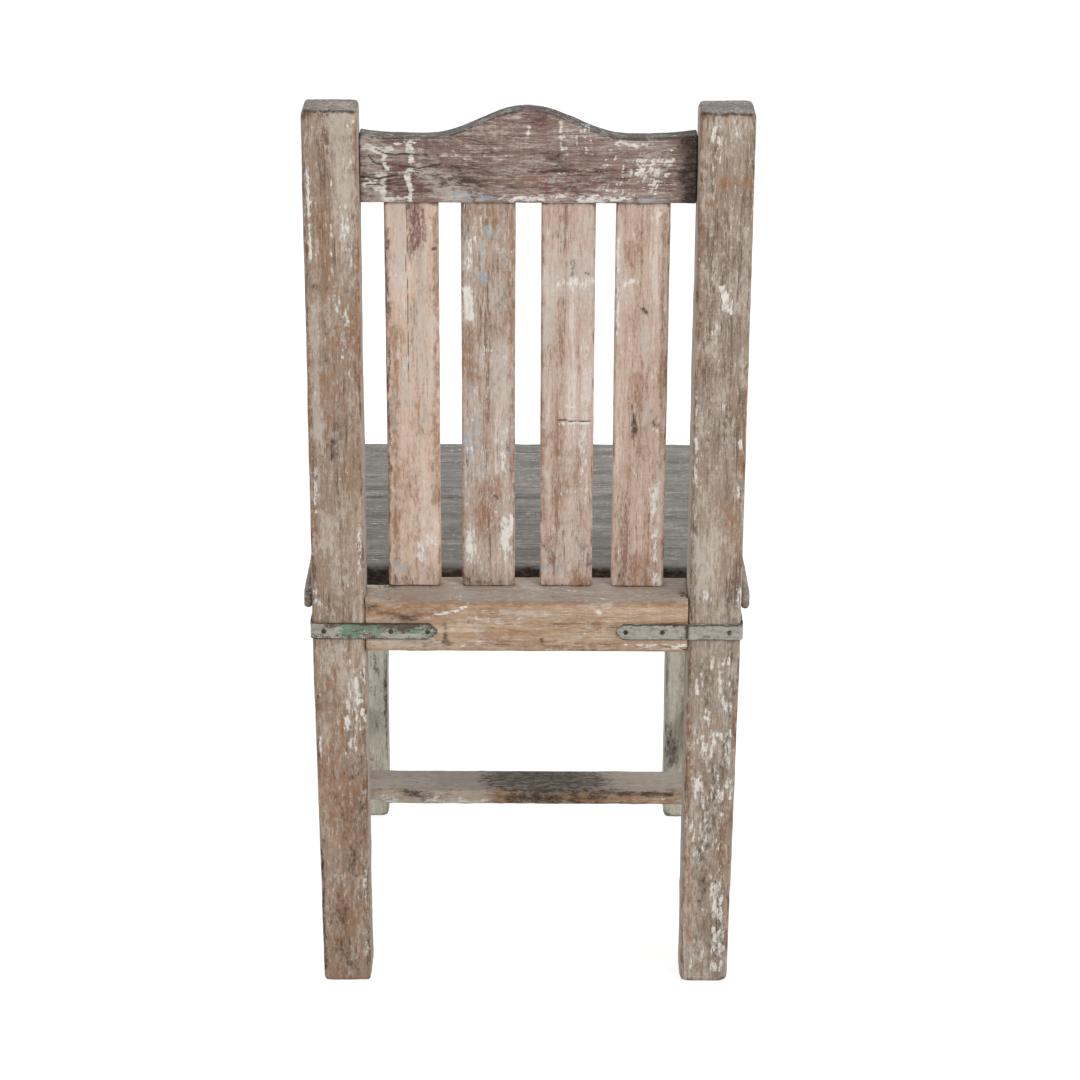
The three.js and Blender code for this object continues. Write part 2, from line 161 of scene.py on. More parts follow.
def wearAway(piece, guide, size, depth, contrast=1.0, group="", level=0.5):
    # size and depth in millimetres; level 0.5 wears to both sides of the face, level 1 only cuts in
    texture = bpy.data.textures.new("wear", "CLOUDS")
    texture.noise_scale = size * mm
    texture.noise_depth = 3
    texture.contrast = contrast
    applyNew(piece, "DISPLACE", texture=texture, texture_coords="OBJECT", texture_coords_object=guide,
             strength=depth * mm, mid_level=level, vertex_group=group)
    bpy.data.textures.remove(texture)


def meshArrays(piece):
    mesh = piece.data
    count = len(mesh.vertices)
    points = np.empty(count * 3, np.float32)
    normals = np.empty(count * 3, np.float32)
    edges = np.empty(len(mesh.edges) * 2, np.int32)
    mesh.vertices.foreach_get("co", points)
    mesh.vertices.foreach_get("normal", normals)
    mesh.edges.foreach_get("vertices", edges)
    points, normals = (flat.reshape(-1, 3).astype(float) for flat in (points, normals))
    return points, normals, edges.reshape(-1, 2)


def storeMask(piece, label, values):
    mask = piece.data.attributes.get(label) or piece.data.attributes.new(label, "FLOAT", "POINT")
    mask.data.foreach_set("value", np.asarray(values, np.float32))


def proudness(piece):
    # above a half on arrises, below it in hollows
    passes = 12   # of smoothing, to find how far each point stands out
    reach = 2.4   # mesh spacings from a half to a full arris
    points, normals, edges = meshArrays(piece)
    count = len(points)
    ends = np.concatenate([edges[:, 0], edges[:, 1]])
    others = np.concatenate([edges[:, 1], edges[:, 0]])
    degree = np.maximum(np.bincount(ends, minlength=count), 1)
    soft = points.copy()
    for _ in range(passes):
        for axis in range(3):
            mean = np.bincount(ends, weights=soft[others, axis], minlength=count) / degree
            soft[:, axis] = 0.5 * (soft[:, axis] + mean)
    spacing = np.linalg.norm(points[edges[:, 0]] - points[edges[:, 1]], axis=1).mean()
    lift = ((points - soft) * normals).sum(1)
    return np.clip(0.5 + lift / (reach * spacing), 0, 1)


def arrisGroup(piece, proud, clear):
    # clear: axis and the span, in millimetres, outside which a joint keeps its arrises
    group = piece.vertex_groups.new(name="arris")
    weights = np.clip((proud - 0.6) / 0.3, 0, 1)   # from nothing at 0.6 to full at 0.9
    axis, low, high = clear
    places = meshArrays(piece)[0][:, "XYZ".index(axis)]
    weights[(places < low * mm) | (places > high * mm)] = 0
    for level in range(1, 11):   # ten steps of weight are enough
        members = np.nonzero(np.round(weights * 10) == level)[0].tolist()
        if members:
            group.add(members, level / 10, "REPLACE")


def strokeDistance(pixels, path):
    # shortest distance from each point to a brush path, in pixels
    best = np.full(len(pixels), 1e9)
    corners = [np.array(corner, float) for corner in path]
    for start, end in zip(corners, corners[1:] or corners):
        along = end - start
        length = max(along @ along, 1e-9)
        share = np.clip(((pixels - start) @ along) / length, 0, 1)
        best = np.minimum(best, np.linalg.norm(pixels - start - share[:, None] * along, axis=1))
    return best


def photoSight(points, normals):
    # where each point falls in the photograph, and whether its face shows there
    sight = np.array(cameraPlace()) - points
    sight /= np.linalg.norm(sight, axis=1)[:, None]
    return photoPixels(points), (sight * normals).sum(1) > cameraSetup["grazing"]


def brushPaint(piece, strokes, seed):
    # each stroke: paint, path in pixels, half width in pixels, strength
    points, normals, _ = meshArrays(piece)
    pixels, seen = photoSight(points, normals)
    front = normals[:, 1] < -0.5
    turned = pixels.min(0) + pixels.max(0) - pixels
    # the front, out of sight, wears the same end for end
    pixels = np.where(front[:, None], turned, pixels)
    jitter = np.random.RandomState(seed)
    masks = {}
    for paint, path, half, strength in strokes:
        wander = roughPath(path, jitter, step=max(2 * half, 5), sway=0.55 * half)
        value = strength * np.clip(1 - 0.5 * strokeDistance(pixels, wander) / half, 0, 1)
        # painted shade and stains keep to the faces that show; the other paints also wear onto the front
        kept = seen if paint == "stainAndShade" else seen | front
        masks[paint] = np.maximum(masks.get(paint, 0), np.where(kept, value, 0))
    for paint, values in masks.items():
        storeMask(piece, paint, values)


def splitWood(piece, cracks, voxel, seed):
    # each crack: path in pixels, half width in pixels, depth in millimetres
    points, normals, _ = meshArrays(piece)
    pixels, seen = photoSight(points, normals)
    jitter = np.random.RandomState(seed)
    mask = np.zeros(len(points))
    for path, half, depth in cracks:
        wander = roughPath(path, jitter, step=7, sway=1.0)
        width = max(half, 0.55 * voxel)   # no finer than the mesh can hold
        value = np.where(seen, np.exp(-(strokeDistance(pixels, wander) / width) ** 2), 0)
        points -= normals * (value * depth * mm)[:, None]
        mask = np.maximum(mask, value * min(depth, 1))
    points[:, 2] = np.maximum(points[:, 2], 0)   # feet stay on the floor
    piece.data.vertices.foreach_set("co", points.astype(np.float32).ravel())
    piece.data.update()
    storeMask(piece, "crack", mask)


def scuffs(paint, corner, far, slant, count, length, half, strength):
    # a cluster of short scores inside a box of pixels, slant is sideways run per pixel down
    jitter = np.random.RandomState(count + int(corner[0]))
    made = []
    for _ in range(count):
        x, y = jitter.uniform(corner, far)
        run = length * jitter.uniform(0.5, 1.3)
        score = [(x, y), (x + slant * run, y + run)]
        made.append((paint, score, half, strength * jitter.uniform(0.75, 1.1)))
    return made


def roughPath(path, jitter, step, sway):
    # the path in short steps, each corner pushed off it by up to sway, in pixels
    made = []
    for start, end in zip(path, path[1:]):
        start, end = np.array(start, float), np.array(end, float)
        count = max(int(np.linalg.norm(end - start) / step), 1)
        for part in range(count):
            made.append(start + (end - start) * part / count + jitter.uniform(-sway, sway, 2))
    return made + [np.array(path[-1], float)]


# node helpers

def tone(code):
    parts = [int(code[i:i + 2], 16) / 255 for i in (1, 3, 5)]
    return tuple(p / 12.92 if p <= 0.04045 else ((p + 0.055) / 1.055) ** 2.4 for p in parts) + (1.0,)


def addNode(tree, kind, inputs=None, **settings):
    made = tree.nodes.new(kind)
    for setting, value in settings.items():
        setattr(made, setting, value)
    for socket, value in (inputs or {}).items():
        if isinstance(value, bpy.types.NodeSocket):
            tree.links.new(value, made.inputs[socket])
        else:
            made.inputs[socket].default_value = value
    return made


def calc(tree, operation, first, second=0.0, third=0.0, clamp=False):
    values = {0: first, 1: second, 2: third}
    return addNode(tree, "ShaderNodeMath", values, operation=operation, use_clamp=clamp).outputs[0]


def ease(tree, value, low, high):
    spans = {"Value": value, "From Min": low, "From Max": high}
    return addNode(tree, "ShaderNodeMapRange", spans, interpolation_type="SMOOTHSTEP").outputs["Result"]


def overlay(tree, factor, under, over, mode="MIX"):
    values = {0: factor, 6: under, 7: over}
    return addNode(tree, "ShaderNodeMix", values, data_type="RGBA", blend_type=mode).outputs[2]


def mottle(tree, vector, size, detail=3.0, rough=0.55):
    # noise whose lumps measure size, in millimetres, with the grain along Z
    scale = tuple(1 / (s * mm) for s in size)
    spread = addNode(tree, "ShaderNodeVectorMath", {0: vector, 1: scale}, operation="MULTIPLY")
    values = {"Vector": spread.outputs[0], "Scale": 1.0, "Detail": detail, "Roughness": rough}
    return addNode(tree, "ShaderNodeTexNoise", values)


def startGroup(name, entries, exits):
    group = bpy.data.node_groups.new(name, "ShaderNodeTree")
    for label, kind, value in entries:
        socket = group.interface.new_socket(label, in_out="INPUT", socket_type="NodeSocket" + kind)
        if value is not None:
            socket.default_value = value
    for label, kind in exits:
        group.interface.new_socket(label, in_out="OUTPUT", socket_type="NodeSocket" + kind)
    return group, group.nodes.new("NodeGroupInput").outputs, group.nodes.new("NodeGroupOutput").inputs


def useGroup(tree, group, inputs):
    return addNode(tree, "ShaderNodeGroup", inputs, node_tree=group).outputs


def startMaterial(name):
    material = bpy.data.materials.new(name)
    material.use_nodes = True
    material.node_tree.nodes.clear()
    return material, material.node_tree


def readMask(tree, label):
    return addNode(tree, "ShaderNodeAttribute", attribute_name=label).outputs["Fac"]


def moveTo(tree, vector, location, turn=(0, 0, 0)):
    places = {"Vector": vector, "Location": location, "Rotation": turn}
    return addNode(tree, "ShaderNodeMapping", places).outputs[0]


def nudge(tree, value, noise, weight):
    # adds a noise that lies about a half
    return calc(tree, "MULTIPLY_ADD", calc(tree, "SUBTRACT", noise, 0.5), weight, value)


def coat(tree, colour, mask, cover, over):
    return overlay(tree, calc(tree, "MULTIPLY", mask, cover), colour, over)


# shared effects as node groups

def makeTimberGrain():
    group, given, result = startGroup(
        "timberGrain",
        [("Vector", "Vector", None)],
        [("Fibre", "Float"), ("Bands", "Float"), ("Blotch", "Float"), ("Pores", "Float"),
         ("Height", "Float")])
    link = group.links.new
    sway = mottle(group, given["Vector"], (60, 60, 160), 1).outputs["Color"]
    centred = addNode(group, "ShaderNodeVectorMath", {0: sway, 1: (0.5, 0.5, 0.5)}, operation="SUBTRACT")
    moved = addNode(group, "ShaderNodeVectorMath", {0: centred.outputs[0], "Scale": 9 * mm},
                    operation="SCALE")
    place = addNode(group, "ShaderNodeVectorMath", {0: given["Vector"], 1: moved.outputs[0]}).outputs[0]
    bands = mottle(group, place, (13, 13, 420), 3, 0.6).outputs["Fac"]
    fibre = mottle(group, place, (2.8, 2.8, 46), 3, 0.7).outputs["Fac"]
    hair = mottle(group, place, (1.1, 1.1, 8), 2, 0.7).outputs["Fac"]
    saw = mottle(group, given["Vector"], (26, 26, 2.2), 1, 0.5).outputs["Fac"]
    blotch = mottle(group, given["Vector"], (40, 40, 70), 4, 0.65).outputs["Fac"]
    pores = mottle(group, place, (1.5, 1.5, 12), 2, 0.5).outputs["Fac"]
    mixed = calc(group, "MULTIPLY_ADD", hair, 0.42, calc(group, "MULTIPLY", fibre, 0.5))
    mixed = calc(group, "MULTIPLY_ADD", saw, 0.08, mixed)
    pits = ease(group, pores, 0.64, 0.74)
    relief = calc(group, "MULTIPLY_ADD", bands, 0.5, mixed)
    link(mixed, result["Fibre"])
    link(bands, result["Bands"])
    link(blotch, result["Blotch"])
    link(pits, result["Pores"])
    link(calc(group, "MULTIPLY_ADD", pits, -0.5, relief), result["Height"])
    return group


def makeWoodTone():
    group, given, result = startGroup(
        "woodTone",
        [("Fibre", "Float", 0.5), ("Bands", "Float", 0.5), ("Blotch", "Float", 0.5),
         ("Contrast", "Float", 1.0),
         ("Dark", "Color", None), ("Mid", "Color", None), ("Pale", "Color", None)],
        [("Color", "Color")])
    lean = 0.0
    for noise, weight in (("Fibre", 1.8), ("Bands", 1.0), ("Blotch", 0.7)):
        lean = nudge(group, lean, given[noise], weight)
    level = calc(group, "MULTIPLY_ADD", lean, given["Contrast"], 0.5)
    low = overlay(group, ease(group, level, 0.12, 0.5), given["Dark"], given["Mid"])
    group.links.new(overlay(group, ease(group, level, 0.5, 0.88), low, given["Pale"]), result["Color"])
    return group


def makePaintTrace():
    # old paint that holds in patches, broken up along the grain
    group, given, result = startGroup(
        "paintTrace",
        [("Vector", "Vector", None), ("Fibre", "Float", 0.5), ("Place", "Float", 0.0),
         ("Hold", "Float", 0.8), ("Spread", "Float", 0.2), ("Ragged", "Float", 1.0),
         ("Bite", "Float", 1.0), ("Soft", "Float", 0.1)],
        [("Mask", "Float")])
    broad = mottle(group, given["Vector"], (20, 20, 48), 2, 0.6).outputs["Fac"]
    fine = mottle(group, given["Vector"], (4, 4, 9), 4, 0.75).outputs["Fac"]
    value = calc(group, "MULTIPLY_ADD", given["Place"], given["Hold"], given["Spread"])
    for noise, weight in ((broad, 1.0), (fine, given["Ragged"]), (given["Fibre"], given["Bite"])):
        value = nudge(group, value, noise, weight)
    low = calc(group, "SUBTRACT", 0.5, given["Soft"])
    high = calc(group, "ADD", 0.5, given["Soft"])
    # thin where it has rubbed
    rubbed = calc(group, "MULTIPLY_ADD", ease(group, fine, 0.36, 0.6), 0.45, 0.55)
    group.links.new(calc(group, "MULTIPLY", ease(group, value, low, high), rubbed), result["Mask"])
    return group


def makeArrisWear():
    group, given, result = startGroup(
        "arrisWear",
        [("Vector", "Vector", None), ("Proud", "Float", 0.5), ("Reach", "Float", 0.75),
         ("Broken", "Float", 0.5)],
        [("Mask", "Float"), ("HollowGrimeAndShade", "Float")])
    patchy = mottle(group, given["Vector"], (9, 9, 26), 4, 0.65).outputs["Fac"]
    value = nudge(group, given["Proud"], patchy, given["Broken"])
    high = calc(group, "ADD", given["Reach"], 0.1)
    group.links.new(ease(group, value, given["Reach"], high), result["Mask"])
    # grime with painted shade, darker where the surface sinks in
    group.links.new(ease(group, given["Proud"], 0.47, 0.3), result["HollowGrimeAndShade"])
    return group


def makeScratches():
    # short straight scores at a few slants
    group, given, result = startGroup(
        "scratches",
        [("Vector", "Vector", None), ("Amount", "Float", 0.5)],
        [("Mask", "Float")])
    found = 0.0
    for slant in (-32, 24):
        turn = (math.radians(slant), math.radians(slant), 0)
        turned = moveTo(group, given["Vector"], (slant * 0.01, 0, 0), turn)
        line = mottle(group, turned, (1.3, 1.3, 40), 1, 0.4).outputs["Fac"]
        found = calc(group, "MAXIMUM", ease(group, line, 0.7, 0.78), found)
    group.links.new(calc(group, "MULTIPLY", found, given["Amount"]), result["Mask"])
    return group


timberGrain = makeTimberGrain()
woodTone = makeWoodTone()
paintTrace = makePaintTrace()
arrisWear = makeArrisWear()
scratchMarks = makeScratches()
print("shared finishes made")


# weathered timber

paints = {
    "umber": {"colour": "#92694a", "cover": 0.75, "hold": 0.75, "ragged": 1.2, "bite": 1.6, "soft": 0.26},
    "plum": {"colour": "#6b4445", "cover": 0.85, "hold": 0.85, "ragged": 1.8, "bite": 1.4, "soft": 0.2},
    "sky": {"colour": "#98a9b0", "cover": 0.8, "hold": 0.72, "ragged": 2.0, "bite": 1.6, "soft": 0.18},
    "wash": {"colour": "#c8bfb4", "cover": 0.66, "hold": 0.75, "ragged": 1.5, "bite": 2.0, "soft": 0.28},
    "chalk": {"colour": "#e6e1d8", "cover": 0.96, "hold": 0.7, "ragged": 2.1, "bite": 1.6, "soft": 0.15,
              "thick": 0.5},
    # dark paint for real stains and knots, and painted shade in the slot, the broken hole and cast
    # shadows
    "stainAndShade": {"colour": "#2d2620", "cover": 0.85, "hold": 0.85, "ragged": 1.3, "bite": 1.6, "soft": 0.26},
}

plainTimber = {
    "grain": "Z", "lean": 0.0, "voxel": 2.6,
    "waviness": 1.0, "dents": 0.7, "ridges": 0.45, "chips": 2.6,   # millimetres of wear
    "dark": "#6f5a4a", "mid": "#9d8774", "pale": "#bdac9b", "contrast": 0.95,
    "spread": {"umber": 0.2, "wash": 0.3, "chalk": 0.16, "stainAndShade": 0.1},
    "arris": "#7d5433", "arrisReach": 0.72, "arrisCover": 0.7,
    "patinaAndTopLight": "#7a7671", "patinaAndTopLightCover": 0.85,     # on faces that look up: grey patina, and painted light from above
    "paintedSideShading": "#8a8580", "paintedSideShadingCover": 0.0,        # painted shading on faces that look sideways
    "clear": ("Z", -1, 2000),                     # span whose arrises are chipped
    "scratch": 0.45, "scratchTone": "#d2ccc2", "pores": 0.25, "grimeAndShade": "#2c241e",
    "strokes": [], "cracks": [],
}

grainTurn = {"X": (0, -90, 0), "Y": (90, 0, 0), "Z": (0, 0, 0)}   # degrees, brings the grain to Z


def weatheredTimber(name, look, seed):
    material, tree = startMaterial(name + "_finish")
    where = addNode(tree, "ShaderNodeTexCoord").outputs["Object"]
    turn = [math.radians(angle) for angle in grainTurn[look["grain"]]]
    turn[0] += math.radians(look["lean"])
    place = moveTo(tree, where, (0.37 * seed, 0.23 * seed, 0.61 * seed), turn)   # no two pieces alike
    normal = addNode(tree, "ShaderNodeNewGeometry").outputs["Normal"]
    facing = addNode(tree, "ShaderNodeSeparateXYZ", {0: normal}).outputs

    grain = useGroup(tree, timberGrain, {"Vector": place})
    colour = useGroup(tree, woodTone, {
        "Fibre": grain["Fibre"], "Bands": grain["Bands"], "Blotch": grain["Blotch"],
        "Contrast": look["contrast"], "Dark": tone(look["dark"]), "Mid": tone(look["mid"]),
        "Pale": tone(look["pale"])})["Color"]
    height = grain["Height"]

    # faces that look up go grey, partly weathered patina and partly painted light from above; faces that
    # look sideways get painted shading; both in streaks along the grain
    upper = ease(tree, calc(tree, "MULTIPLY_ADD", grain["Blotch"], 0.3, facing["Z"]), 0.55, 0.85)
    beside = ease(tree, calc(tree, "ABSOLUTE", facing["X"]), 0.75, 0.95)
    for side, mask, streak, base in (("patinaAndTopLight", upper, 0.6, 0.7), ("paintedSideShading", beside, 1.4, 0.3)):
        streaked = calc(tree, "MULTIPLY_ADD", grain["Fibre"], streak, base)
        grey = overlay(tree, 1.0, tone(look[side]), streaked, "MULTIPLY")
        colour = coat(tree, colour, mask, look[side + "Cover"], grey)

    worn = useGroup(tree, arrisWear, {
        "Vector": place, "Proud": readMask(tree, "proud"), "Reach": look["arrisReach"], "Broken": 0.7})
    colour = coat(tree, colour, worn["Mask"], look["arrisCover"], tone(look["arris"]))

    for step, (paint, spread) in enumerate(look["spread"].items()):
        finish = paints[paint]
        shifted = moveTo(tree, place, (1.7 * step, 0.9 * step, 2.3 * step))
        mask = useGroup(tree, paintTrace, {
            "Vector": shifted, "Fibre": grain["Fibre"], "Place": readMask(tree, paint), "Spread": spread,
            "Hold": finish["hold"], "Ragged": finish["ragged"], "Bite": finish["bite"],
            "Soft": finish["soft"]})["Mask"]
        colour = coat(tree, colour, mask, finish["cover"], tone(finish["colour"]))
        if "thick" in finish:
            height = calc(tree, "MULTIPLY_ADD", mask, finish["thick"], height)

    scratched = useGroup(tree, scratchMarks, {"Vector": place, "Amount": look["scratch"]})["Mask"]
    colour = overlay(tree, scratched, colour, tone(look["scratchTone"]))

    # darker in pores and cracks, and grime with painted shade in hollows
    grimeAndShade = calc(tree, "MULTIPLY", grain["Pores"], look["pores"])
    grimeAndShade = calc(tree, "MAXIMUM", grimeAndShade, calc(tree, "MULTIPLY", worn["HollowGrimeAndShade"], 0.6))
    split = ease(tree, readMask(tree, "crack"), 0.25, 0.75)
    grimeAndShade = calc(tree, "MAXIMUM", grimeAndShade, calc(tree, "MULTIPLY", split, 0.9))
    colour = overlay(tree, grimeAndShade, colour, tone(look["grimeAndShade"]))

    rough = calc(tree, "MULTIPLY_ADD", grain["Fibre"], -0.3, 0.95, clamp=True)
    bump = addNode(tree, "ShaderNodeBump", {"Strength": 0.55, "Distance": 0.9 * mm, "Height": height})
    shader = addNode(tree, "ShaderNodeBsdfPrincipled", {
        "Base Color": colour, "Roughness": rough, "Specular IOR Level": 0.25, "Normal": bump.outputs[0]})
    addNode(tree, "ShaderNodeOutputMaterial", {"Surface": shader.outputs[0]})
    return material


pieceCount = 0
pieceStride = Vector((0.31, 0.17, 0.43))   # metres between the wear of one piece and the next


def addShard(piece, shard):
    # a thin torn wall left standing in front of a broken corner
    size = [(high - low) * mm for low, high in shard["spans"]]
    middle = [(high + low) / 2 * mm for low, high in shard["spans"]]
    bpy.ops.object.select_all(action="DESELECT")
    bpy.ops.mesh.primitive_cube_add(size=1, location=middle, scale=size)
    sliver = bpy.context.active_object
    bpy.ops.object.transform_apply(location=True, rotation=False, scale=True)
    bpy.ops.object.mode_set(mode="EDIT")
    bpy.ops.mesh.select_all(action="DESELECT")
    bpy.ops.object.mode_set(mode="OBJECT")
    for corner in sliver.data.vertices:
        corner.select = corner.co.z > middle[2] and corner.co.x > middle[0]
    bpy.ops.object.mode_set(mode="EDIT")
    bpy.ops.transform.translate(value=(0, 0, -shard["slant"] * mm))
    bpy.ops.object.mode_set(mode="OBJECT")
    piece.select_set(True)
    bpy.context.view_layer.objects.active = piece
    bpy.ops.object.join()


def enrol(piece, node, kind):
    pickOnly(piece)
    bpy.ops.object.shade_smooth()
    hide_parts(node)
    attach(piece, "root")
    print(kind, piece.name, len(piece.data.polygons), "faces")


def dressTimber(node, own):
    global pieceCount
    pieceCount += 1
    look = {**plainTimber, **own}
    piece = copySolid(node, node + "_worn")
    if "shard" in look:
        addShard(piece, look["shard"])
    voxelMesh(piece, look["voxel"])
    applyNew(piece, "SMOOTH", factor=0.5, iterations=1)
    offset = pieceStride * pieceCount
    broad = makeGuide(look["grain"], 5, offset)
    wearAway(piece, broad, size=30, depth=look["waviness"])
    wearAway(piece, broad, size=9, depth=look["dents"], contrast=1.4)
    wearAway(piece, broad, size=5, depth=look["ridges"], contrast=1.5)
    arrisGroup(piece, proudness(piece), look["clear"])
    close = makeGuide(look["grain"], 2.2, offset)
    wearAway(piece, close, size=11, depth=look["chips"], contrast=2.4, group="arris", level=1.0)
    for guide in (broad, close):
        bpy.data.objects.remove(guide)
    splitWood(piece, look["cracks"], look["voxel"], pieceCount)
    storeMask(piece, "proud", proudness(piece))
    brushPaint(piece, look["strokes"], pieceCount)
    piece.vertex_groups.clear()
    piece.data.materials.append(weatheredTimber(piece.name, look, pieceCount))
    enrol(piece, node, "timber:")


# rear posts

post = {
    "lean": 3.0, "voxel": 2.2, "waviness": 1.3, "chips": 2.6, "paintedSideShading": "#b4aaa0", "paintedSideShadingCover": 0.6,
    "arrisReach": 0.63, "arris": "#6a4a30", "arrisCover": 0.8, "patinaAndTopLight": "#6d6b69",
}

leftPost = {
    **post,
    "spread": {"umber": 0.26, "wash": 0.32, "chalk": 0.03, "stainAndShade": 0.12},
    "strokes": [
        ("wash", [(345, 114), (347, 160), (345, 235)], 8, 0.75),
        ("chalk", [(347, 116), (348, 130)], 2.4, 0.8),
        ("chalk", [(344, 160), (346, 230)], 2.2, 0.55),
        ("wash", [(330, 120), (332, 160)], 9, 0.3),
        ("chalk", [(308, 168), (309, 215)], 1.3, 0.9),
        ("chalk", [(309, 225), (310, 258)], 1.2, 0.75),
        ("wash", [(314, 300), (316, 439)], 3.5, 0.8),
        ("chalk", [(315, 466), (316, 513)], 1.6, 0.8),
        ("wash", [(327, 525), (327, 544)], 9, 0.6),
        ("chalk", [(359, 525), (360, 571)], 1.8, 0.8),
        ("chalk", [(317, 590), (318, 600)], 4, 0.7),
        ("chalk", [(356, 572), (350, 585)], 2.4, 0.7),
        ("umber", [(356, 118), (358, 380)], 2.4, 0.95),
        ("umber", [(307, 330), (310, 470)], 2.4, 0.95),
        ("umber", [(314, 510), (315, 547)], 3, 0.8),
        ("umber", [(320, 215), (326, 300)], 7, 0.55),
        ("umber", [(335, 290), (340, 420)], 10, 0.4),
        ("stainAndShade", [(336, 424), (336, 430)], 2, 0.9),
        ("stainAndShade", [(333, 440), (332, 460)], 3, 0.6),
        ("stainAndShade", [(318, 286), (345, 292)], 5, 0.4),
        ("stainAndShade", [(303, 111), (356, 112)], 1.3, 0.9),
        ("wash", [(342, 650), (356, 700)], 7, 0.4),
        ("chalk", [(344, 650), (357, 690)], 4.5, 0.62),
        ("chalk", [(359, 690), (360, 699)], 3, 1.1),
        ("wash", [(325, 650), (328, 672)], 6, 0.4),
        ("umber", [(330, 680), (334, 770)], 10, 0.5),
        ("chalk", [(319, 690), (321, 760)], 1.3, 0.6),
        ("chalk", [(365, 868), (367, 955)], 1.6, 0.75),
        ("chalk", [(328, 890), (336, 889)], 1.3, 0.8),
        ("umber", [(338, 665), (342, 745)], 5, 0.75),
        ("umber", [(345, 785), (345, 822)], 16, 0.75),
        ("umber", [(345, 860), (350, 970)], 16, 0.5),
        ("stainAndShade", [(345, 750), (347, 850)], 16, 0.24),
        ("stainAndShade", [(345, 870), (348, 975)], 16, 0.34),
        ("stainAndShade", [(321, 840), (326, 968)], 2, 0.7),
        *scuffs("chalk", (330, 120), (352, 330), 0.05, 50, 8, 1.2, 0.85),
        *scuffs("chalk", (345, 655), (364, 760), 0.2, 34, 9, 1.3, 0.95),
    ],
    "cracks": [
        ([(326, 700), (327, 760)], 0.8, 0.4),
        ([(352, 880), (354, 940)], 0.8, 0.4),
    ],
}

rightPost = {
    **post,
    "dark": "#6a5a4c", "mid": "#9d8b7a", "pale": "#c3b6a8",
    "spread": {"umber": 0.2, "wash": 0.36, "chalk": 0.05, "stainAndShade": 0.12},
    "strokes": [
        ("chalk", [(734, 118), (737, 134)], 3, 0.95),
        ("umber", [(721, 182), (751, 183)], 4, 0.8),
        ("umber", [(704, 202), (716, 203)], 2.5, 0.8),
        ("chalk", [(723, 288), (725, 309)], 3.6, 1.1),
        ("chalk", [(730, 304), (731, 313)], 1.8, 1.1),
        ("chalk", [(729, 322), (729, 325)], 1.8, 0.9),
        ("umber", [(701, 118), (700, 377)], 2.4, 0.95),
        ("chalk", [(697, 391), (697, 426)], 1.3, 0.85),
        ("chalk", [(696, 440), (696, 487)], 1.3, 0.85),
        ("chalk", [(741, 442), (741, 448)], 2.2, 0.9),
        ("chalk", [(738, 487), (738, 497)], 2, 0.8),
        ("umber", [(747, 391), (741, 479)], 3, 0.8),
        ("umber", [(728, 512), (730, 546)], 7, 0.5),
        ("wash", [(699, 546), (700, 589)], 8, 0.7),
        ("chalk", [(703, 590), (710, 600)], 3.4, 0.8),
        ("chalk", [(740, 590), (741, 602)], 3.4, 0.9),
        ("stainAndShade", [(712, 660), (708, 970)], 18, 0.24),
        ("umber", [(690, 720), (688, 940)], 2.4, 0.95),
        ("umber", [(724, 800), (722, 880)], 4, 0.6),
        ("stainAndShade", [(699, 114), (752, 115)], 1.3, 0.9),
        *scuffs("chalk", (706, 125), (722, 170), 0.0, 18, 8, 1.2, 0.7),
        *scuffs("chalk", (694, 655), (732, 800), 0.08, 80, 10, 1.4, 1.0),
        *scuffs("chalk", (712, 880), (722, 965), -0.08, 44, 10, 1.4, 1.15),
        *scuffs("chalk", (688, 800), (724, 960), -0.15, 60, 9, 1.3, 0.95),
    ],
    "cracks": [
        ([(714, 420), (716, 470)], 0.8, 0.4),
        ([(716, 880), (717, 950)], 0.8, 0.6),
    ],
}

dressTimber("rear_post_left", leftPost)
dressTimber("rear_post_right", rightPost)


# crest rail

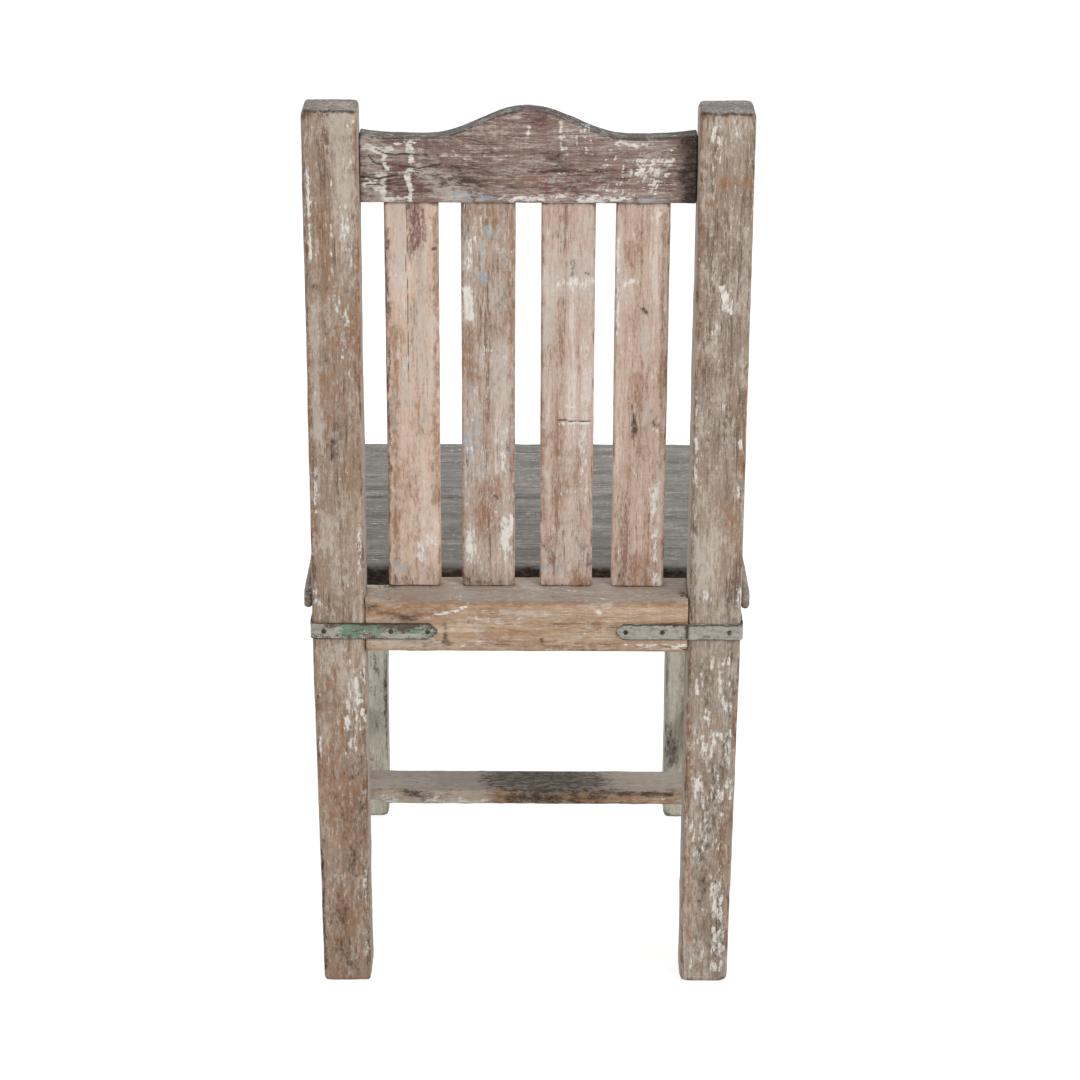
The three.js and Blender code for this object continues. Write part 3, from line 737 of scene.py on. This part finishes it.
crest = {
    "grain": "X", "voxel": 1.5, "waviness": 0.9, "dents": 0.8, "ridges": 0.5, "chips": 2.0,
    "dark": "#4c3a34", "mid": "#856f66", "pale": "#b4a49b", "contrast": 1.05, "clear": ("X", -158, 158),
    "spread": {"umber": 0.12, "plum": 0.18, "sky": 0.04, "wash": 0.3, "chalk": 0.06, "stainAndShade": 0.14},
    "arris": "#59463b", "patinaAndTopLight": "#4d4946", "patinaAndTopLightCover": 0.95, "scratch": 0.4,
    "strokes": [
        ("wash", [(372, 145), (378, 200)], 13, 0.5),
        ("chalk", [(364, 146), (384, 152), (391, 149)], 2.6, 1.2),
        ("chalk", [(384, 154), (386, 168)], 2.4, 1.15),
        ("chalk", [(384, 176), (384, 196)], 2.6, 1.2),
        ("chalk", [(366, 182), (382, 192)], 5, 0.75),
        ("chalk", [(366, 166), (380, 174)], 5, 0.7),
        ("chalk", [(408, 145), (411, 160)], 2.8, 1.4),
        ("chalk", [(410, 168), (407, 178), (411, 190), (410, 203)], 2.3, 1.4),
        ("chalk", [(397, 143), (416, 142)], 1.8, 1.0),
        ("plum", [(387, 169), (402, 170)], 3, 1.0),
        ("plum", [(362, 198), (381, 198)], 4, 0.9),
        ("plum", [(414, 172), (422, 186)], 6, 0.6),
        ("chalk", [(384, 199), (406, 198)], 2.8, 0.85),
        ("wash", [(425, 172), (450, 198)], 11, 0.55),
        ("chalk", [(528, 128), (528, 135)], 2.0, 1.2),
        ("chalk", [(560, 122), (562, 149)], 1.6, 0.9),
        ("plum", [(530, 114), (541, 120)], 5, 0.95),
        ("plum", [(578, 188), (597, 187)], 6, 0.95),
        ("plum", [(543, 189), (560, 188)], 5, 0.95),
        ("umber", [(481, 178), (544, 179)], 3, 0.7),
        ("sky", [(456, 196), (495, 197)], 4.5, 0.75),
        ("chalk", [(513, 199), (550, 199)], 2.6, 0.85),
        ("chalk", [(577, 200), (625, 200)], 2.8, 0.85),
        ("sky", [(640, 199), (668, 200)], 3, 0.6),
        ("wash", [(655, 160), (640, 196)], 14, 0.2),
        ("chalk", [(612, 143), (647, 146)], 1.6, 0.85),
        # painted shadow cast by the right post on the crest's right end
        ("stainAndShade", [(691, 142), (692, 200)], 8, 1.2),
        ("stainAndShade", [(440, 180), (520, 186)], 6, 0.3),
        ("stainAndShade", [(558, 160), (570, 184)], 7, 0.4),
        *scuffs("chalk", (640, 148), (676, 180), -0.42, 40, 12, 0.9, 0.8),
        *scuffs("chalk", (645, 172), (672, 192), -0.35, 20, 8, 0.9, 0.85),
        *scuffs("chalk", (560, 122), (592, 160), 0.08, 26, 7, 1.0, 0.8),
        *scuffs("chalk", (600, 150), (640, 190), -0.3, 24, 8, 0.9, 0.72),
        *scuffs("chalk", (505, 195), (640, 199), -2.0, 40, 3, 1.0, 0.85),
    ],
    "cracks": [
        ([(375, 149), (387, 154), (428, 155)], 0.9, 1.4),
        ([(368, 156), (374, 163), (382, 165)], 0.9, 1.4),
        ([(400, 166), (420, 168), (440, 165)], 0.9, 1.4),
        ([(359, 177), (378, 178), (397, 175)], 1.0, 1.5),
        ([(366, 184), (386, 187)], 0.8, 0.8),
    ],
}

dressTimber("crest_rail", crest)


# back slats

slat = {
    "lean": 3.0, "voxel": 1.6, "waviness": 0.6, "dents": 0.5, "ridges": 0.4, "chips": 1.4,
    "dark": "#8f705d", "mid": "#c4a793", "pale": "#e4d0c0", "contrast": 1.1, "clear": ("Z", 480, 865),
    "arris": "#7a4a38", "arrisReach": 0.66, "scratch": 0.3, "pores": 0.15,
}

slats = {
    "back_slat_1": {
        "dark": "#a8866f", "mid": "#d8bda9", "pale": "#f1e2d5",
        "spread": {"umber": 0.2, "plum": 0.02, "sky": 0.02, "wash": 0.32, "chalk": 0.04, "stainAndShade": 0.02},
        "strokes": [
            ("plum", [(410, 206), (413, 232), (411, 254)], 7.5, 1.0),
            ("stainAndShade", [(407, 210), (410, 248)], 3, 0.5),
            ("plum", [(388, 230), (390, 500)], 2, 0.8),
            ("umber", [(436, 215), (436, 500)], 2, 0.95),
            ("wash", [(401, 206), (402, 290)], 3.5, 0.8),
            ("wash", [(422, 260), (423, 420)], 6, 0.55),
            ("stainAndShade", [(388, 247), (388, 248)], 1.6, 1.0),
            ("stainAndShade", [(432, 249), (436, 248)], 1.1, 1.2),
            ("wash", [(405, 360), (406, 402)], 3, 0.8),
            ("umber", [(434, 461), (434, 503)], 3, 0.8),
            ("umber", [(394, 330), (396, 560)], 3, 0.8),
            ("umber", [(416, 420), (418, 560)], 7, 0.5),
            ("chalk", [(419, 545), (420, 559)], 4, 0.7),
            ("chalk", [(428, 541), (435, 543)], 4, 0.7),
            ("sky", [(393, 564), (404, 567)], 5, 0.7),
            ("umber", [(412, 564), (434, 575)], 9, 0.5),
            ("stainAndShade", [(392, 576), (412, 584)], 5, 0.4),
        ],
        "cracks": [
            ([(406, 204), (407, 270), (408, 336), (409, 382)], 0.6, 0.7),
        ],
    },
    "back_slat_2": {
        "dark": "#7f6656", "mid": "#b59f8f", "pale": "#dbcdc1", "contrast": 1.15,
        "spread": {"umber": 0.26, "plum": 0.02, "sky": 0.16, "wash": 0.34, "chalk": 0.08, "stainAndShade": 0.06},
        "strokes": [
            ("umber", [(478, 212), (486, 228)], 8, 1.0),
            ("sky", [(489, 226), (493, 236)], 3.6, 1.2),
            ("sky", [(481, 240), (482, 266)], 2, 0.9),
            ("stainAndShade", [(500, 300), (502, 330)], 5, 0.4),
            ("umber", [(512, 212), (512, 470)], 1.8, 0.95),
            ("chalk", [(474, 238), (468, 269)], 4, 0.7),
            ("sky", [(483, 274), (484, 280)], 3.4, 1.2),
            ("chalk", [(470, 290), (467, 302), (468, 316)], 4, 1.2),
            ("umber", [(472, 335), (473, 378)], 6, 1.0),
            ("chalk", [(484, 346), (484, 354)], 2, 0.9),
            ("wash", [(500, 352), (501, 403)], 6, 0.7),
            ("sky", [(470, 432), (472, 452)], 8, 0.6),
            ("chalk", [(504, 430), (504, 470)], 3, 0.7),
            ("umber", [(484, 482), (486, 528)], 8, 0.8),
            ("chalk", [(505, 520), (506, 558)], 5, 0.8),
            ("chalk", [(468, 531), (470, 559)], 4, 0.7),
            ("stainAndShade", [(496, 496), (497, 498)], 1.3, 1.2),
            ("stainAndShade", [(466, 580), (508, 583)], 8, 0.45),
            ("umber", [(507, 574), (511, 582)], 4, 0.7),
        ],
        "cracks": [
            ([(497, 420), (498, 470)], 0.7, 0.6),
        ],
    },
    "back_slat_3": {
        "dark": "#907362", "mid": "#c3aa9b", "pale": "#e2d2c7",
        "spread": {"umber": 0.2, "plum": 0.06, "sky": 0.05, "wash": 0.34, "chalk": 0.05, "stainAndShade": 0.02},
        "strokes": [
            ("wash", [(546, 288), (592, 286)], 9, 1.1),
            ("chalk", [(560, 284), (592, 284)], 6, 0.8),
            ("wash", [(584, 262), (585, 280)], 8, 0.8),
            ("stainAndShade", [(571, 260), (573, 274)], 2.6, 0.6),
            ("stainAndShade", [(585, 272), (589, 274)], 1.6, 0.7),
            ("wash", [(550, 296), (545, 340)], 4, 0.8),
            ("umber", [(541, 215), (541, 420)], 1.8, 0.95),
            ("chalk", [(563, 406), (575, 406)], 2, 0.8),
            ("chalk", [(556, 424), (591, 423)], 1.4, 0.8),
            ("chalk", [(586, 432), (586, 495)], 3.5, 0.6),
            ("umber", [(543, 430), (543, 520)], 3, 0.8),
            ("umber", [(560, 430), (563, 560)], 9, 0.5),
            ("wash", [(568, 530), (570, 555)], 8, 0.6),
            ("plum", [(578, 540), (588, 560)], 6, 0.6),
            ("plum", [(545, 546), (550, 558)], 6, 0.55),
            ("sky", [(543, 566), (559, 568)], 4, 0.8),
            ("umber", [(574, 577), (588, 582)], 7, 0.8),
            ("stainAndShade", [(545, 584), (590, 585)], 3, 0.5),
        ],
        "cracks": [
            ([(556, 421), (591, 421)], 0.7, 1.0),
            ([(563, 530), (564, 556)], 0.8, 0.7),
        ],
    },
    "back_slat_4": {
        "dark": "#8f715e", "mid": "#c3a896", "pale": "#e4d3c5",
        "spread": {"umber": 0.22, "plum": 0.06, "sky": 0.03, "wash": 0.34, "chalk": 0.06, "stainAndShade": 0.03},
        "strokes": [
            ("wash", [(620, 215), (619, 340)], 3, 0.95),
            ("chalk", [(618, 240), (617, 335)], 1.5, 0.85),
            ("umber", [(630, 246), (632, 276)], 4, 0.8),
            ("umber", [(664, 215), (661, 470)], 1.8, 0.9),
            ("wash", [(644, 320), (645, 372)], 2.4, 0.8),
            ("chalk", [(625, 285), (631, 281), (637, 283)], 2, 1.1),
            ("chalk", [(658, 212), (658, 225)], 1.8, 0.8),
            ("stainAndShade", [(644, 308), (646, 312)], 1.3, 1.5),
            ("stainAndShade", [(632, 414), (634, 433)], 4, 0.8),
            ("stainAndShade", [(652, 410), (653, 424)], 3.5, 0.55),
            ("chalk", [(650, 428), (656, 430)], 3, 0.8),
            ("umber", [(637, 378), (637, 406)], 5, 0.6),
            ("chalk", [(634, 470), (638, 476)], 3, 0.8),
            ("chalk", [(653, 486), (654, 512)], 3.5, 0.85),
            ("chalk", [(654, 518), (654, 562)], 3.5, 0.7),
            ("sky", [(618, 514), (618, 545)], 3, 0.5),
            ("umber", [(630, 562), (646, 580)], 9, 0.7),
            ("plum", [(626, 572), (640, 584)], 6, 0.5),
            ("chalk", [(655, 578), (659, 586)], 4.5, 0.9),
        ],
        "cracks": [
            ([(633, 405), (633, 440)], 0.8, 0.7),
        ],
    },
}

for node, own in slats.items():
    dressTimber(node, {**slat, **own})


# rear seat rail

rearRail = {
    "grain": "X", "voxel": 1.8, "waviness": 0.8, "dents": 0.7, "ridges": 0.5, "chips": 2.4,
    "dark": "#7d6049", "mid": "#b3957a", "pale": "#d8c3ab", "contrast": 0.95, "clear": ("X", -158, 158),
    "shard": {"spans": [(139, 169), (199.3, 205), (414, 449)], "slant": 6},
    "spread": {"umber": 0.22, "wash": 0.3, "chalk": 0.04, "stainAndShade": 0.05},
    "arris": "#8d6d50", "patinaAndTopLight": "#a0948a", "patinaAndTopLightCover": 0.95, "scratch": 0.3, "pores": 0.15,
    "strokes": [
        ("umber", [(395, 603), (690, 604)], 1.8, 0.8),
        ("chalk", [(434, 615), (448, 613), (466, 608)], 1.1, 0.85),
        ("wash", [(500, 611), (545, 616)], 1.6, 0.8),
        ("chalk", [(593, 612), (600, 613)], 2.2, 0.8),
        ("stainAndShade", [(542, 641), (542, 642)], 1.8, 1.0),
        ("stainAndShade", [(444, 642), (444, 643)], 1.8, 1.0),
        ("chalk", [(626, 645), (688, 646)], 1.6, 0.95),
        ("wash", [(372, 643), (440, 644)], 2.5, 0.7),
        ("umber", [(372, 612), (440, 613)], 8, 0.6),
        ("stainAndShade", [(368, 610), (410, 617)], 8, 0.5),
        ("stainAndShade", [(443, 624), (448, 643)], 2.4, 0.7),
        ("stainAndShade", [(468, 621), (474, 622)], 2.4, 0.6),
        ("umber", [(510, 632), (540, 633)], 2.4, 0.8),
        # painted shade in the broken corner, so it reads as a deep dark hole
        ("stainAndShade", [(366, 570), (388, 586)], 8, 0.8),
        # darker in the corners beside the right post
        ("stainAndShade", [(684, 592), (690, 600)], 4, 0.8),
        ("stainAndShade", [(688, 647), (691, 655)], 3, 0.9),
    ],
    "cracks": [
        ([(600, 617), (625, 619)], 0.7, 0.4),
        ([(684, 651), (691, 652)], 1.6, 3.0),
    ],
}

dressTimber("rear_seat_rail", rearRail)


# seat boards and their end strips

seatBoard = {
    "grain": "X", "voxel": 3.0, "waviness": 0.6, "dents": 0.5, "ridges": 0.5, "chips": 2.2,
    "dark": "#5c5a54", "mid": "#7f7d77", "pale": "#9f9d96", "contrast": 1.1,
    "spread": {"umber": 0.1, "sky": 0.12, "wash": 0.2, "chalk": 0.04, "stainAndShade": 0.14},
    "arris": "#7b7267", "arrisCover": 0.5, "patinaAndTopLightCover": 0.0, "scratch": 0.25,
}

endStrip = {
    "grain": "Y", "voxel": 1.8, "waviness": 0.4, "mid": "#8d8177", "pale": "#b0a59a",
    "spread": {"umber": 0.26, "sky": 0.16, "wash": 0.2, "chalk": 0.04, "stainAndShade": 0.12},
}

# painted shade on the rear board's back edge, down in the slot
slotPaintedShade = [("stainAndShade", [(360, 580), (695, 580)], 8, 1.3)]

dressTimber("seat_plank_front", seatBoard)
dressTimber("seat_plank_rear", {**seatBoard, "strokes": slotPaintedShade})
for node in ("seat_edge_left", "seat_edge_right"):
    dressTimber(node, {**seatBoard, **endStrip})


# front legs, rails and stretchers

# front leg tones lifted to make up for the shade under the seat: painted light
frontLeg = {
    "voxel": 2.8, "dark": "#8d8877", "mid": "#c0bbaa", "pale": "#dedbce", "contrast": 1.1,
    "spread": {"umber": 0.14, "sky": 0.14, "wash": 0.3, "chalk": 0.1, "stainAndShade": 0.14},
    "arris": "#5f5648", "arrisReach": 0.66, "patinaAndTopLight": "#8d8a80",
}

legLooks = {
    "front_leg_left": {
        # the left leg lighter still, painted light against the shade it sits in
        "dark": "#a19c8a", "mid": "#e2decd", "pale": "#f4f2e8",
        "strokes": [
            ("stainAndShade", [(386.5, 655), (387.5, 812)], 1.1, 0.55),
            ("chalk", [(376, 665), (378, 745)], 6, 0.5),
            ("stainAndShade", [(372, 655), (374, 668)], 4, 0.3),
            ("umber", [(372, 760), (376, 780)], 6, 0.8),
        ],
    },
    "front_leg_right": {
        "strokes": [
            ("stainAndShade", [(660.5, 655), (660.5, 816)], 1.2, 0.7),
            ("stainAndShade", [(668, 730), (672, 760)], 5, 0.55),
            ("wash", [(672, 660), (674, 700)], 6, 0.5),
        ],
    },
}

for node, own in legLooks.items():
    dressTimber(node, {**frontLeg, **own})

crossBoard = {
    "grain": "X", "voxel": 2.0, "waviness": 0.7, "dents": 0.6, "chips": 2.4,
    "dark": "#77604c", "mid": "#c0a488", "pale": "#eedbc0", "clear": ("X", -185, 185),
    "spread": {"umber": 0.2, "wash": 0.28, "chalk": 0.06, "stainAndShade": 0.12},
    "arris": "#6f573f", "arrisReach": 0.66, "patinaAndTopLight": "#aba299", "patinaAndTopLightCover": 0.9,
    "strokes": [
        # darker in the middle of the top face
        ("stainAndShade", [(500, 780), (588, 781)], 17, 0.95),
        ("stainAndShade", [(515, 776), (575, 778)], 14, 1.35),
        ("stainAndShade", [(515, 799), (556, 799)], 7, 0.9),
        ("stainAndShade", [(590, 792), (672, 795)], 1.8, 0.9),
        ("stainAndShade", [(400, 792), (430, 796)], 3, 0.7),
        ("umber", [(556, 800), (672, 801)], 5, 0.95),
        ("umber", [(480, 799), (516, 800)], 5, 0.6),
        ("chalk", [(372, 800), (396, 800)], 4, 0.85),
        ("chalk", [(425, 801), (484, 801)], 3.4, 0.9),
        ("wash", [(374, 799), (486, 799)], 6, 1.1),
        ("wash", [(372, 778), (420, 779)], 9, 0.5),
    ],
}

dressTimber("cross_stretcher", crossBoard)

hiddenRail = {"voxel": 3.4, "waviness": 0.8}

for node in ("side_stretcher_left", "side_stretcher_right"):
    dressTimber(node, {**frontLeg, **hiddenRail, "grain": "Y"})
for node in ("side_seat_rail_left", "side_seat_rail_right"):
    dressTimber(node, {**hiddenRail, "grain": "Y"})
dressTimber("front_seat_rail", {**hiddenRail, "grain": "X"})


# iron straps and nails

strapIron = {
    "voxel": 0.75, "hammered": 0.5, "pitting": 0.25,
    "bare": "#58524c", "rust": "#5d4332", "leaf": "#6f9079", "residue": "#b5b1a6", "edge": "#3b3029",
}

nailIron = {"voxel": 0.4, "pitting": 0.35, "bare": "#2b2622", "rust": "#4a3527"}


def oldIron(name, look, seed):
    material, tree = startMaterial(name + "_finish")
    where = addNode(tree, "ShaderNodeTexCoord").outputs["Object"]
    place = moveTo(tree, where, (0.41 * seed, 0.29 * seed, 0), (0, math.radians(-90), 0))
    cloudy = mottle(tree, place, (7, 7, 12), 5, 0.65).outputs["Fac"]
    speck = mottle(tree, place, (1.1, 1.1, 1.6), 3, 0.6).outputs["Fac"]
    colour = overlay(tree, ease(tree, cloudy, 0.38, 0.62), tone(look["rust"]), tone(look["bare"]))
    height = calc(tree, "MULTIPLY", speck, 0.6)
    for step, (paint, spread, shade, cover) in enumerate((
            ("leaf", 0.12, look["leaf"], 0.9), ("chalk", 0.28, look["residue"], 0.85))):
        shifted = moveTo(tree, place, (step + 0.3, 0.7, 0))
        mask = useGroup(tree, paintTrace, {
            "Vector": shifted, "Fibre": speck, "Place": readMask(tree, paint), "Spread": spread,
            "Hold": 0.75, "Ragged": 1.9, "Bite": 0.9, "Soft": 0.14})["Mask"]
        colour = coat(tree, colour, mask, cover, tone(shade))
        height = calc(tree, "MULTIPLY_ADD", mask, 0.4, height)
    worn = useGroup(tree, arrisWear, {
        "Vector": place, "Proud": readMask(tree, "proud"), "Reach": 0.66, "Broken": 0.8})
    # darker along the edges where the stain-and-shade strokes lie
    stainAndShadeMask = ease(tree, readMask(tree, "stainAndShade"), 0.3, 0.7)
    edge = calc(tree, "MAXIMUM", calc(tree, "MULTIPLY", worn["Mask"], 0.75), stainAndShadeMask)
    colour = overlay(tree, edge, colour, tone(look["edge"]))
    rough = calc(tree, "MULTIPLY_ADD", speck, 0.4, 0.45, clamp=True)
    bump = addNode(tree, "ShaderNodeBump", {"Strength": 0.5, "Distance": 0.5 * mm, "Height": height})
    shader = addNode(tree, "ShaderNodeBsdfPrincipled", {
        "Base Color": colour, "Roughness": rough, "Metallic": 0.1, "Specular IOR Level": 0.4,
        "Normal": bump.outputs[0]})
    addNode(tree, "ShaderNodeOutputMaterial", {"Surface": shader.outputs[0]})
    return material


def dressIron(node, look, strokes):
    global pieceCount
    pieceCount += 1
    piece = copySolid(node, node + "_worn")
    voxelMesh(piece, look["voxel"])
    guide = makeGuide("X", 1, pieceStride * pieceCount)
    if "hammered" in look:
        wearAway(piece, guide, size=14, depth=look["hammered"])
    wearAway(piece, guide, size=2.5, depth=look["pitting"], contrast=1.4)
    bpy.data.objects.remove(guide)
    storeMask(piece, "proud", proudness(piece))
    brushPaint(piece, strokes, pieceCount)
    enrol(piece, node, "iron:")
    return piece


strapStrokes = {
    "corner_strap_left": [
        ("leaf", [(345, 632), (380, 632)], 6, 0.85),
        ("leaf", [(395, 633), (430, 633)], 4, 0.7),
        ("chalk", [(318, 631), (336, 632)], 5, 0.6),
        ("chalk", [(384, 635), (428, 637)], 3, 0.65),
        ("stainAndShade", [(316, 623), (436, 624)], 1.6, 0.8),
    ],
    "corner_strap_right": [
        ("chalk", [(625, 632), (680, 632)], 6, 0.95),
        ("chalk", [(690, 632), (738, 632)], 7, 1.05),
        ("leaf", [(640, 634), (672, 635)], 4, 0.5),
        ("stainAndShade", [(620, 625), (738, 626)], 1.3, 0.7),
        ("stainAndShade", [(686, 628), (687, 638)], 3, 0.7),
        ("stainAndShade", [(620, 640), (738, 640)], 1.0, 0.6),
    ],
}

for node, strokes in strapStrokes.items():
    strap = dressIron(node, strapIron, strokes)
    strap.data.materials.append(oldIron(strap.name, strapIron, pieceCount))

nailFinish = oldIron("strap_nail", {**strapIron, **nailIron}, 3)
for side in ("left", "right"):
    for number in range(1, 6):
        nail = dressIron("strap_nail_%s_%d" % (side, number), nailIron, [])
        nail.data.materials.append(nailFinish)


# floor, light and background

studio = {
    "floorSize": 40.0,
    "floorTone": 0.8,
    "floorGlow": 0.85,      # the floor's own white, as the camera sees it
    "floorShadow": 0.35,    # how much a shadow takes from it
    "ambient": 0.5,
    "lamps": [   # name, place, size in metres, watts
        ("key", (-2.0, 2.4, 2.4), 1.8, 62),
        ("fill", (2.4, 1.9, 1.6), 2.0, 16),
        ("front", (0.8, -2.8, 2.2), 2.0, 40),
    ],
    "aim": (0, 0, 0.5),
}


def makeFloor():
    bpy.ops.mesh.primitive_plane_add(size=studio["floorSize"])
    floor = bpy.context.active_object
    floor.name = "floor"
    material, tree = startMaterial("pale_floor")
    level = studio["floorTone"]
    matt = addNode(tree, "ShaderNodeBsdfDiffuse", {"Color": (level, level, level, 1)})
    dim = studio["floorShadow"]
    shadow = addNode(tree, "ShaderNodeBsdfDiffuse", {"Color": (dim, dim, dim, 1)})
    glow = addNode(tree, "ShaderNodeEmission", {"Strength": studio["floorGlow"]})
    shown = addNode(tree, "ShaderNodeAddShader", {0: shadow.outputs[0], 1: glow.outputs[0]})
    either = addNode(tree, "ShaderNodeMixShader", {
        0: seenDirectly(tree), 1: matt.outputs[0], 2: shown.outputs[0]})
    addNode(tree, "ShaderNodeOutputMaterial", {"Surface": either.outputs[0]})
    floor.data.materials.append(material)


def seenDirectly(tree):
    # one for what the camera sees, straight or in a mirror
    rays = addNode(tree, "ShaderNodeLightPath").outputs
    mirrored = calc(tree, "MAXIMUM", rays["Is Glossy Ray"], rays["Is Transmission Ray"])
    return calc(tree, "MAXIMUM", rays["Is Camera Ray"], mirrored)


def makeWorld():
    world = bpy.data.worlds.new("studio")
    bpy.context.scene.world = world
    world.use_nodes = True
    tree = world.node_tree
    tree.nodes.clear()
    soft = addNode(tree, "ShaderNodeBackground", {"Color": (1, 1, 1, 1), "Strength": studio["ambient"]})
    white = addNode(tree, "ShaderNodeBackground", {"Color": (1, 1, 1, 1), "Strength": 1.0})
    either = addNode(tree, "ShaderNodeMixShader", {
        0: seenDirectly(tree), 1: soft.outputs[0], 2: white.outputs[0]})
    addNode(tree, "ShaderNodeOutputWorld", {"Surface": either.outputs[0]})


def makeLamps():
    for name, place, size, watts in studio["lamps"]:
        bpy.ops.object.light_add(type="AREA", location=place)
        lamp = bpy.context.active_object
        lamp.name = name + "_lamp"
        lamp.data.size = size
        lamp.data.energy = watts
        away = Vector(place) - Vector(studio["aim"])
        lamp.rotation_euler = away.to_track_quat("Z", "Y").to_euler()


makeFloor()
makeWorld()
makeLamps()
bpy.context.scene.view_settings.view_transform = "Standard"
print("studio set")
